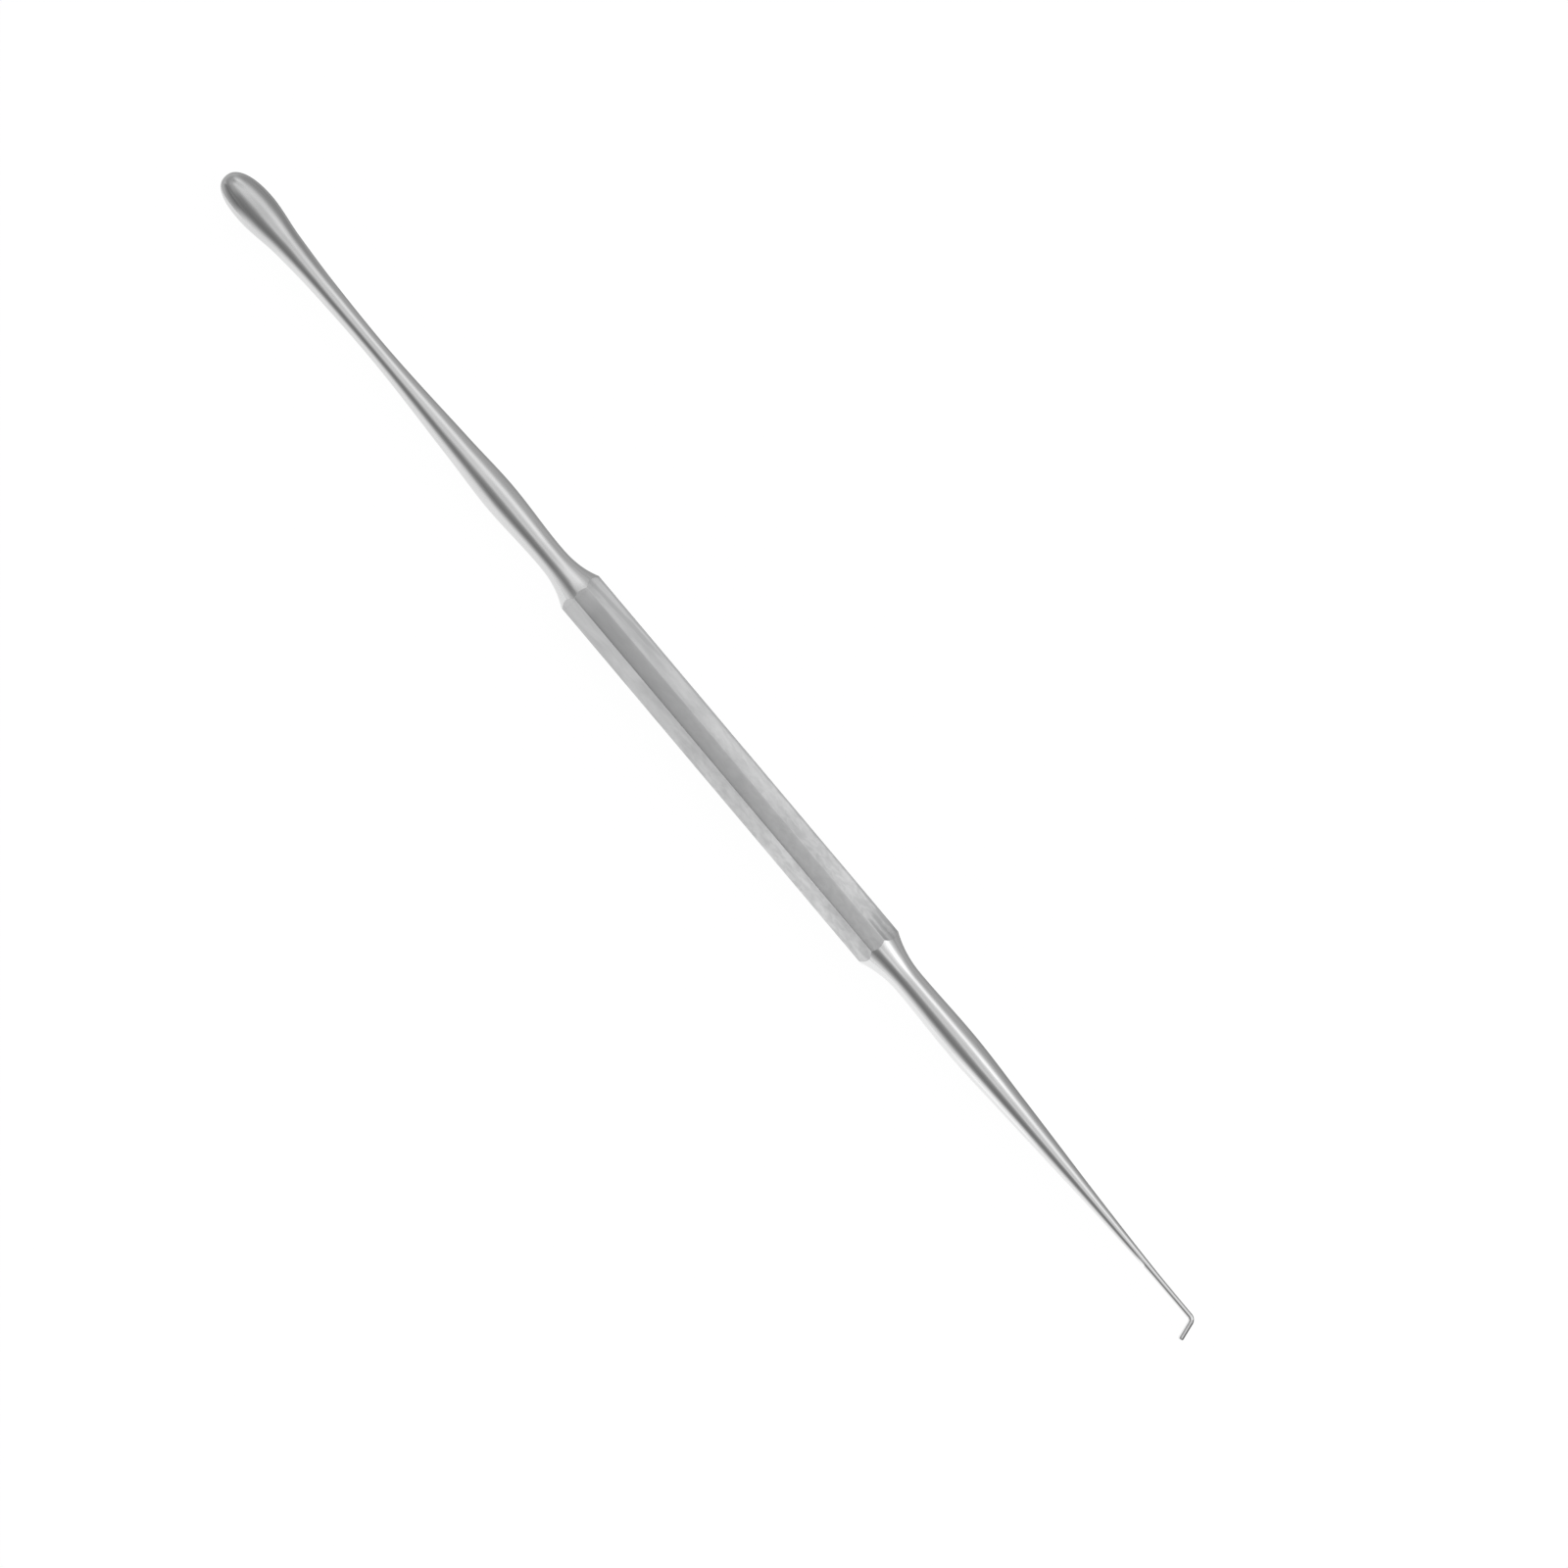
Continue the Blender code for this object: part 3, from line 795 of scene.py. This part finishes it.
def effect(tree, name, position, length, width):
    """A shared effect at a length and width of its own."""
    node = use_group(tree, name, Position=position, Length=length, Width=width)
    return Field(node.outputs["Effect"])


def object_position(tree):
    """Object coordinates."""
    return tree.nodes.new("ShaderNodeTexCoord").outputs["Object"]


def carried(tree, name):
    """A number that the mesh carries for its material."""
    node = tree.nodes.new("ShaderNodeAttribute")
    node.attribute_name = name
    return Field(node.outputs["Fac"])


def mixed_colour(tree, factor, first, second):
    """Two colours mixed by a field."""
    node = tree.nodes.new("ShaderNodeMix")
    node.data_type = "RGBA"
    for index, source in ((0, factor), (6, first), (7, second)):
        feed(node.inputs[index], source)
    return node.outputs[2]


def summed(weights, fields):
    """The sum of the fields that have a weight, each times its own."""
    return sum(fields[name] * weight for name, weight in weights.items())


def satin_marks(tree, position, clouds, broad, mottles):
    """The ground steel's uneven places and the light and shade painted on it, by metres along and
    across the handle.
    """
    along, across, height = axis_fields(tree, position)
    upper = height.mapped(AXIS_HEIGHT, AXIS_HEIGHT + 0.0002)
    upper_edge = height.mapped(AXIS_HEIGHT + 0.0006, AXIS_HEIGHT + 0.0008)
    # Painted light: the handle's colour gets brighter towards the hook end
    painted_light_towards_hook = along.mapped(-0.025, 0.015)
    # Painted light on the top flat by the spatula's collar
    painted_light_by_spatula_collar = along.mapped(-0.0222, -0.0243)
    top_flat = abs(across).mapped(0.00105, 0.00085)
    unevenness = 1 - top_flat * 0.5
    off_slant = abs(across - SLANT_ACROSS - (along - SLANT_ALONG) * SLANT_SLOPE)
    lines = across * (math.tau / GRINDING_LINE_SPACING) - GRINDING_LINE_SHIFT
    lines = lines.cosine().mapped(-1.0, 1.0)
    # A darker strip on the upper flat on the side the hook's leg points to, near the hook's collar
    strip = across.mapped(-0.0021, -0.0013) * across.mapped(-0.00085, -0.00105)
    return {
        "painted_light_towards_hook": painted_light_towards_hook,
        "patches": (clouds * 0.30 + broad * 0.26 - 0.28) * unevenness,
        "mottles": (mottles - 0.5) * painted_light_towards_hook * unevenness,
        # Painted shade: the top flat is darker towards the spatula end
        "painted_shade_on_top": top_flat * (1 - painted_light_towards_hook),
        "painted_light_on_top_end": top_flat * painted_light_by_spatula_collar,
        # Painted shade along the outer edge of the flat beyond the tool
        "painted_shade_outer_edge": across.mapped(0.00240, 0.00258) * upper_edge,
        "slanted_line": ((1 - off_slant.mapped(0.00008, 0.00030))
                         * along.mapped(-0.0125, -0.0165) * upper),
        "lines_by_hook": (lines * across.mapped(0.0009, 0.0011) * along.mapped(0.0218, 0.0228)
                          * upper),
        "darker_strip_by_hook": strip * along.mapped(0.015, 0.021) * upper,
    }


def satin_finish_group():
    """Ground flats: grain, cloudy patches, marks, brighter and smoother worn edges, and painted
    light and shade.
    """
    tree, given, result = new_group("satin_finish", "ShaderNodeTree", ("Position", "Edge"),
                                    ("Color", "Roughness", "Height"))
    finish = bpy.context.scene.ear_pick_finish
    position = given.outputs["Position"]
    clouds = effect(tree, "cloudy_patches", position, 0.005, 0.0012)
    broad = effect(tree, "cloudy_patches", position, 0.021, 0.0042)
    mottles = effect(tree, "cloudy_patches", position, 0.0010, 0.0006)
    fields = satin_marks(tree, position, clouds, broad, mottles) | {
        "level": 1.0,
        "grain": effect(tree, "lengthwise_grain", position, 0.004, 0.00006),
        "clouds": clouds,
        "broad": broad,
        "scratches": effect(tree, "hairline_scratches", position, 0.003, 0.00035),
        "worn": Field(given.outputs["Edge"]) * clouds.mapped(0.0, 1.0, 0.4, 1.0),
    }
    brightness = summed(SATIN_BRIGHTNESS, fields)
    fed(result, Color=mixed_colour(tree, brightness, finish.satin_dark, finish.satin_light),
        Roughness=finish.satin_roughness + summed(SATIN_ROUGHNESS, fields),
        Height=summed(SATIN_HEIGHT, fields))
    return tree


def polished_finish_group():
    """Polished ends: faint lengthwise streaks, a soft bloom, a few hairlines and painted shade on
    the drop.
    """
    tree, given, result = new_group("polished_finish", "ShaderNodeTree", ("Position",),
                                    ("Color", "Roughness", "Height"))
    finish = bpy.context.scene.ear_pick_finish
    position = given.outputs["Position"]
    # Painted shade: the drop is darker than the rest of the polished steel
    off_painted_drop_shade = axis_fields(tree, position)[0].mapped(-0.079, -0.071, smooth=True)
    fields = {
        "level": 1.0,
        "grain": effect(tree, "lengthwise_grain", position, 0.009, 0.00010),
        "bloom": effect(tree, "cloudy_patches", position, 0.0045, 0.0009),
        "scratches": effect(tree, "hairline_scratches", position, 0.0022, 0.00035),
    }
    streaks = summed(POLISHED_BRIGHTNESS, fields).mapped(0.2, 0.8)
    brightness = mixed(streaks, off_painted_drop_shade, 0.66)
    fed(result,
        Color=mixed_colour(tree, brightness, finish.polished_dark_and_drop_shade, finish.polished_light),
        Roughness=finish.polished_roughness + summed(POLISHED_ROUGHNESS, fields),
        Height=summed(POLISHED_HEIGHT, fields))
    return tree


GROUPS = {
    "planed_section": planed_section_group,
    "planed_handle": handle_group,
    "spatula_end": spatula_group,
    "hook_end": hook_group,
    "lengthwise_grain": grain_group,
    "cloudy_patches": clouds_group,
    "hairline_scratches": scratches_group,
    "satin_finish": satin_finish_group,
    "polished_finish": polished_finish_group,
}


def new_metal(name):
    """The tree and shader of a new material that is a plain metal."""
    made = bpy.data.materials.new(name)
    if made.name != name:
        raise RuntimeError(f"the name {name} is taken")
    made.use_nodes = True
    tree = made.node_tree
    return tree, fed(tree.nodes["Principled BSDF"], Metallic=1.0)


def surfaced(tree, shader, base, roughness, height, relief=0.000008):
    """Give a metal its colour and roughness, and a surface bumped by a height."""
    bump = new_node(tree, "ShaderNodeBump", Strength=1.0, Distance=relief, Height=height)
    fed(shader, Base_Color=base, Roughness=roughness, Normal=bump)


def make_satin():
    """The ground handle's finish."""
    tree, shader = new_metal(SATIN)
    satin = use_group(tree, "satin_finish", Position=object_position(tree),
                      Edge=carried(tree, "ground_edge"))
    surfaced(tree, shader, *satin.outputs)


def make_polished():
    """The polished ends' finish, with the satin one on their planed collars."""
    tree, shader = new_metal(POLISHED)
    position = object_position(tree)
    satin = use_group(tree, "satin_finish", Position=position, Edge=carried(tree, "ground_edge"))
    polished = use_group(tree, "polished_finish", Position=position)
    planed = carried(tree, "planed").mapped(0.35, 0.65)
    base = mixed_colour(tree, planed, polished.outputs["Color"], satin.outputs["Color"])
    smooth, smooth_height = taken(polished, "Roughness", "Height")
    ground, ground_height = taken(satin, "Roughness", "Height")
    surfaced(tree, shader, base, mixed(smooth, ground, planed),
             mixed(smooth_height, ground_height, planed))


def make_braze(alloy):
    """The brazing alloy's finish, with small cloudy patches."""
    tree, shader = new_metal(BRAZE)
    clouds = effect(tree, "cloudy_patches", object_position(tree), 0.0006, 0.0006)
    darker = [0.86 * part for part in alloy]
    surfaced(tree, shader, mixed_colour(tree, clouds, darker, alloy),
             clouds.mapped(0.0, 1.0, 0.26, 0.38), clouds, relief=0.000006)


def make_piece(name, rings, group, sizes, finish, along, turned):
    """A piece that a tree of nodes shapes from rings, in its finish and at its place."""
    section = bpy.context.scene.ear_pick_section
    values = sizes | {
        "Material": material_named(finish),
        "Across Flats": section.across_flats,
        "Across Corner Flats": across_corner_flats(section),
        "Edge Easing": section.edge_easing,
        "Roundness": section.roundness,
    }
    grid = grid_of(name, rings, column_angles(section))
    place = Matrix.Translation((along, 0.0, AXIS_HEIGHT)) @ Matrix.Rotation(turned, 4, "Y")
    return shaped(grid, group_named(group), values, place)


def handed_over(piece, node):
    """Let a finished piece stand for its CAD node."""
    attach(piece, "root")
    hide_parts(node)


class EARPICK_OT_finishes(bpy.types.Operator):
    """Make the steel finishes and the brazing alloy"""

    bl_idname = "ear_pick.finishes"
    bl_label = "Finishes"

    def execute(self, context):
        make_satin()
        make_polished()
        make_braze(context.scene.ear_pick_finish.alloy)
        return {"FINISHED"}


class EARPICK_OT_handle(bpy.types.Operator):
    """Make the octagonal handle with its two bores"""

    bl_idname = "ear_pick.handle"
    bl_label = "Handle"

    def execute(self, context):
        scene = context.scene
        handle = scene.ear_pick_handle
        half = handle.length / 2
        well_outside = scene.ear_pick_section.across_flats
        drill_point = handle.bore_radius / math.tan(DRILL_POINT_ANGLE / 2)
        bore = [
            turned_ring(0.0, half - handle.bore_depth - drill_point),
            turned_ring(handle.bore_radius, half - handle.bore_depth),
            turned_ring(handle.bore_radius, half - handle.mouth_chamfer),
            turned_ring(handle.bore_radius + handle.mouth_chamfer, half),
        ]
        steps = math.ceil(handle.length / handle.ring_spacing)
        wall = [turned_ring(well_outside, handle.length * (step / steps - 0.5), planed=1.0)
                for step in range(steps + 1)]
        far_bore = [turned_ring(ring["turned"], -ring["along"]) for ring in bore]
        rings = far_bore + wall + bore[::-1]
        piece = make_piece("satin_handle", rings, "planed_handle", {}, SATIN, 0.0, TOWARDS_HOOK)
        handed_over(piece, "handle")
        return {"FINISHED"}


class EARPICK_OT_spatula_end(bpy.types.Operator):
    """Make the turned end whose drop is pressed a little flat"""

    bl_idname = "ear_pick.spatula_end"
    bl_label = "Spatula end"

    def execute(self, context):
        scene = context.scene
        end = scene.ear_pick_spatula
        stations, rings = shank_of(scene, end, end.swell, end.upper_taper, end.waist, end.rise,
                                   end.shoulder, end.drop)
        rise_end = stations[-3][0]
        widest_at, drop_radius = stations[-1]
        rings += rounded_rings(drop_radius, widest_at, end.nose_length, end.nose_fullness,
                               scene.ear_pick_turning.tip_rings)
        sizes = end_sizes(scene, end) | {
            "Pressed From": rise_end,
            "Widest At": widest_at,
            "Tip At": widest_at + end.nose_length,
            "Pressed": 1 - end.drop_thickness / (2 * drop_radius),
            "Nose Offset": end.nose_offset,
        }
        piece = make_piece("polished_spatula", rings, "spatula_end", sizes, POLISHED,
                           -shoulder_at(scene), TOWARDS_SPATULA)
        handed_over(piece, "spatula_end")
        return {"FINISHED"}


class EARPICK_OT_hook_end(bpy.types.Operator):
    """Make the turned end whose wire is bent into a blunt hook"""

    bl_idname = "ear_pick.hook_end"
    bl_label = "Hook end"

    def execute(self, context):
        scene = context.scene
        end = scene.ear_pick_hook
        turning = scene.ear_pick_turning
        stations, rings = shank_of(scene, end, end.swell, end.upper_taper, end.lower_taper,
                                   end.point, end.wire)
        bend_at, wire_radius = stations[-1]
        bend_radius = end.inside_radius + wire_radius
        bend_length = bend_radius * end.turn
        for step in range(1, turning.bend_rings + 1):
            run = step / turning.bend_rings
            rings.append(turned_ring(mixed(wire_radius, end.leg_radius, run),
                                     bend_at + bend_length * run))
        leg_at = bend_at + bend_length
        leg_end = leg_at + end.leg_length - end.leg_radius
        leg = [(leg_at, end.leg_radius), (leg_end, end.leg_radius)]
        rings += shank_rings(leg, turning.ring_spacing)
        rings += rounded_rings(end.leg_radius, leg_end, end.leg_radius, end.tip_fullness,
                               turning.tip_rings)
        sizes = end_sizes(scene, end) | {
            "Bend At": bend_at,
            "Bend Radius": bend_radius,
            "Turn": end.turn,
        }
        piece = make_piece("polished_hook", rings, "hook_end", sizes, POLISHED,
                           shoulder_at(scene), TOWARDS_HOOK)
        handed_over(piece, "hook_end")
        return {"FINISHED"}


class EARPICK_OT_braze_rings(bpy.types.Operator):
    """Give the two rings of brazing alloy their finish"""

    bl_idname = "ear_pick.braze_rings"
    bl_label = "Braze rings"

    def execute(self, context):
        for name in ("spatula_braze_ring", "hook_braze_ring"):
            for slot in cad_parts[name].material_slots:
                slot.material = material_named(BRAZE)
        return {"FINISHED"}


def grey(level):
    """A colour without a hue."""
    return level, level, level


def emptied(owner):
    """The node tree of a material or a world, cleared."""
    owner.use_nodes = True
    owner.node_tree.nodes.clear()
    return owner.node_tree


def stage_sheet(name, finish_name, corners):
    """A sheet with four corners, and the empty tree of its material."""
    mesh = bpy.data.meshes.new(name)
    mesh.from_pydata(corners, [], [(0, 1, 2, 3)])
    finish = bpy.data.materials.new(finish_name)
    mesh.materials.append(finish)
    return in_scene(name, mesh), emptied(finish)


def floor_glow(tree):
    """How bright the polished steel sees each place of the floor."""
    along, across, _ = axis_fields(tree, object_position(tree))
    past_handle = abs(along).mapped(0.0215, 0.0275, smooth=True)
    past_necks = abs(along).mapped(0.030, 0.040)
    past_tips = along.mapped(0.081, 0.085).larger(along.mapped(-0.085, -0.090))
    near = mixed(NEAR_FLOOR["spatula"], NEAR_FLOOR["hook"], along.mapped(-0.02, 0.03))
    near = mixed(near, NEAR_FLOOR["drop"], along.mapped(-0.066, -0.074))
    near = mixed(NEAR_FLOOR["handle"], near, past_handle)
    far = mixed(FAR_FLOOR["spatula"], FAR_FLOOR["hook"], along.mapped(0.034, 0.045))
    far = mixed(far, FAR_FLOOR["drop"], along.mapped(-0.062, -0.073, smooth=True))
    far = mixed(FAR_FLOOR["necks"], far, past_necks)
    far = mixed(FAR_FLOOR["handle"], far, past_handle)
    shade = mixed(SHADE_BY_HANDLE, SHADE_BY_ENDS, past_handle)
    far = far * across.mapped(0.003, 0.012, shade, 1.0)
    sides = mixed(near, far, across.mapped(-0.001, 0.001))
    return mixed(sides, FLOOR_PAST_TIPS, past_tips)


def make_floor(settings):
    """A pale floor that looks white and keeps the tool's shadow."""
    half = settings.floor_width / 2
    corners = [(-half, -half, 0), (half, -half, 0), (half, half, 0), (-half, half, 0)]
    floor, tree = stage_sheet("floor", "pale_floor", corners)
    rays = tree.nodes.new("ShaderNodeLightPath")
    camera, through, reflected = taken(rays, "Is Camera Ray", "Is Transmission Ray",
                                       "Is Glossy Ray")
    plain = 1 - settings.shadow_share * settings.light_level
    lit = new_node(tree, "ShaderNodeBsdfDiffuse", settings.floor_colour)
    shaded = new_node(tree, "ShaderNodeBsdfDiffuse", grey(settings.shadow_share))
    glow = new_node(tree, "ShaderNodeEmission", Strength=mixed(plain, floor_glow(tree), reflected))
    white = new_node(tree, "ShaderNodeAddShader", shaded, glow)
    seen = camera.larger(through).larger(reflected)
    choice = new_node(tree, "ShaderNodeMixShader", seen, lit, white)
    new_node(tree, "ShaderNodeOutputMaterial", choice)


def glow_round_tool(tree, turned, stops):
    """Brightness by the angle round the tool, from straight below to straight below."""
    ramp = new_node(tree, "ShaderNodeValToRGB", Fac=turned)
    elements = ramp.color_ramp.elements
    elements.remove(elements[-1])
    for index, (degrees, glow) in enumerate(stops):
        place = (degrees + 180) / 360
        element = elements[0] if index == 0 else elements.new(place)
        element.position = place
        element.color = (*grey(glow / GLOW_SCALE), 1)
    return ramp


def make_world():
    """Soft studio light in bands along the tool, stronger towards the hook."""
    world = bpy.data.worlds.new("studio")
    bpy.context.scene.world = world
    tree = emptied(world)
    direction = tree.nodes.new("ShaderNodeTexCoord")
    along, across, up = axis_fields(tree, direction.outputs["Generated"])
    turned = across.arctangent(up).mapped(-math.pi, math.pi)
    level, hook, spatula = [glow_round_tool(tree, turned, stops)
                            for stops in (GLOW_LEVEL, GLOW_TOWARDS_HOOK, GLOW_TOWARDS_SPATULA)]
    glow = mixed_colour(tree, along.mapped(*LEANING_TO_HOOK), level, hook)
    glow = mixed_colour(tree, along.mapped(*LEANING_TO_SPATULA), glow, spatula)
    glow = mixed_colour(tree, abs(along).mapped(*LEANING_PAST_ENDS), glow,
                        grey(GLOW_PAST_ENDS / GLOW_SCALE))
    rays = tree.nodes.new("ShaderNodeLightPath")
    studio = new_node(tree, "ShaderNodeBackground", glow, GLOW_SCALE)
    white = new_node(tree, "ShaderNodeBackground", grey(1))
    choice = new_node(tree, "ShaderNodeMixShader", rays.outputs["Is Camera Ray"], studio, white)
    new_node(tree, "ShaderNodeOutputWorld", choice)


def make_card(name, middle, half, fading, passed, added):
    """A soft-edged card that dims or brightens what the steel's reflections show beyond it."""
    wide, high = [axis for axis in range(3) if half[axis]]
    corners = []
    for turn, lift in ((-1, -1), (1, -1), (1, 1), (-1, 1)):
        corner = list(middle)
        corner[wide] += turn * half[wide]
        corner[high] += lift * half[high]
        corners.append(corner)
    card, tree = stage_sheet(name, name, corners)
    card.visible_camera = False
    card.visible_diffuse = False
    card.visible_shadow = False
    places = axis_fields(tree, object_position(tree))
    strength = 1.0
    for axis in (wide, high):
        solid = half[axis] * (1 - fading[axis])
        off_middle = abs(places[axis] - middle[axis])
        strength = off_middle.mapped(half[axis], solid, smooth=True) * strength
    through = new_node(tree, "ShaderNodeBsdfTransparent",
                       mixed_colour(tree, strength, grey(1), grey(passed)))
    glow = new_node(tree, "ShaderNodeEmission", Strength=strength * added)
    both = new_node(tree, "ShaderNodeAddShader", through, glow)
    new_node(tree, "ShaderNodeOutputMaterial", both)


def make_camera(settings):
    """A long lens straight above, turned so that the tool slants as in the photograph."""
    data = bpy.data.cameras.new("camera")
    data.lens = settings.lens
    data.sensor_width = settings.sensor
    distance = settings.view_width * settings.lens / settings.sensor
    data.clip_start = distance / 100
    data.clip_end = distance * 10
    camera = in_scene("camera", data)
    camera.location = (settings.view_x, settings.view_y, AXIS_HEIGHT + distance)
    camera.rotation_euler.z = settings.view_turn
    bpy.context.scene.camera = camera


class EARPICK_OT_stage(bpy.types.Operator):
    """Make the pale floor, the soft studio light, its cards and the camera"""

    bl_idname = "ear_pick.stage"
    bl_label = "Stage"

    def execute(self, context):
        make_floor(context.scene.ear_pick_stage)
        make_world()
        for name, card in STUDIO_CARDS.items():
            make_card(name, *card)
        make_camera(context.scene.ear_pick_stage)
        context.scene.view_settings.view_transform = "Standard"
        return {"FINISHED"}


class EARPICK_PT_pieces(bpy.types.Panel):
    """Sidebar panel that lists the ear pick's pieces"""

    bl_idname = "EARPICK_PT_pieces"
    bl_label = "Ear pick"
    bl_space_type = "VIEW_3D"
    bl_region_type = "UI"
    bl_category = "Ear pick"

    def draw(self, context):
        for operator in OPERATORS:
            self.layout.operator(operator.bl_idname)
        for name in SETTINGS:
            settings = getattr(context.scene, name)
            box = self.layout.box()
            box.label(text=type(settings).__doc__)
            for key in type(settings).__annotations__:
                box.prop(settings, key)


OPERATORS = (
    EARPICK_OT_finishes,
    EARPICK_OT_handle,
    EARPICK_OT_spatula_end,
    EARPICK_OT_hook_end,
    EARPICK_OT_braze_rings,
    EARPICK_OT_stage,
)
SETTINGS = {
    "ear_pick_section": SectionSettings,
    "ear_pick_handle": HandleSettings,
    "ear_pick_spatula": SpatulaSettings,
    "ear_pick_hook": HookSettings,
    "ear_pick_turning": TurningSettings,
    "ear_pick_finish": FinishSettings,
    "ear_pick_stage": StageSettings,
}
CLASSES = (*SETTINGS.values(), *OPERATORS, EARPICK_PT_pieces)


def register():
    """Register the settings, operators and panel."""
    for made in CLASSES:
        bpy.utils.register_class(made)
    for name, settings in SETTINGS.items():
        setattr(bpy.types.Scene, name, PointerProperty(type=settings))


def unregister():
    """Unregister them in the opposite order."""
    for name in SETTINGS:
        delattr(bpy.types.Scene, name)
    for made in reversed(CLASSES):
        bpy.utils.unregister_class(made)


def main():
    """Make everything in order."""
    register()
    bpy.ops.ear_pick.finishes()
    bpy.ops.ear_pick.handle()
    bpy.ops.ear_pick.spatula_end()
    bpy.ops.ear_pick.hook_end()
    bpy.ops.ear_pick.braze_rings()
    bpy.ops.ear_pick.stage()


if __name__ == "__main__":
    main()
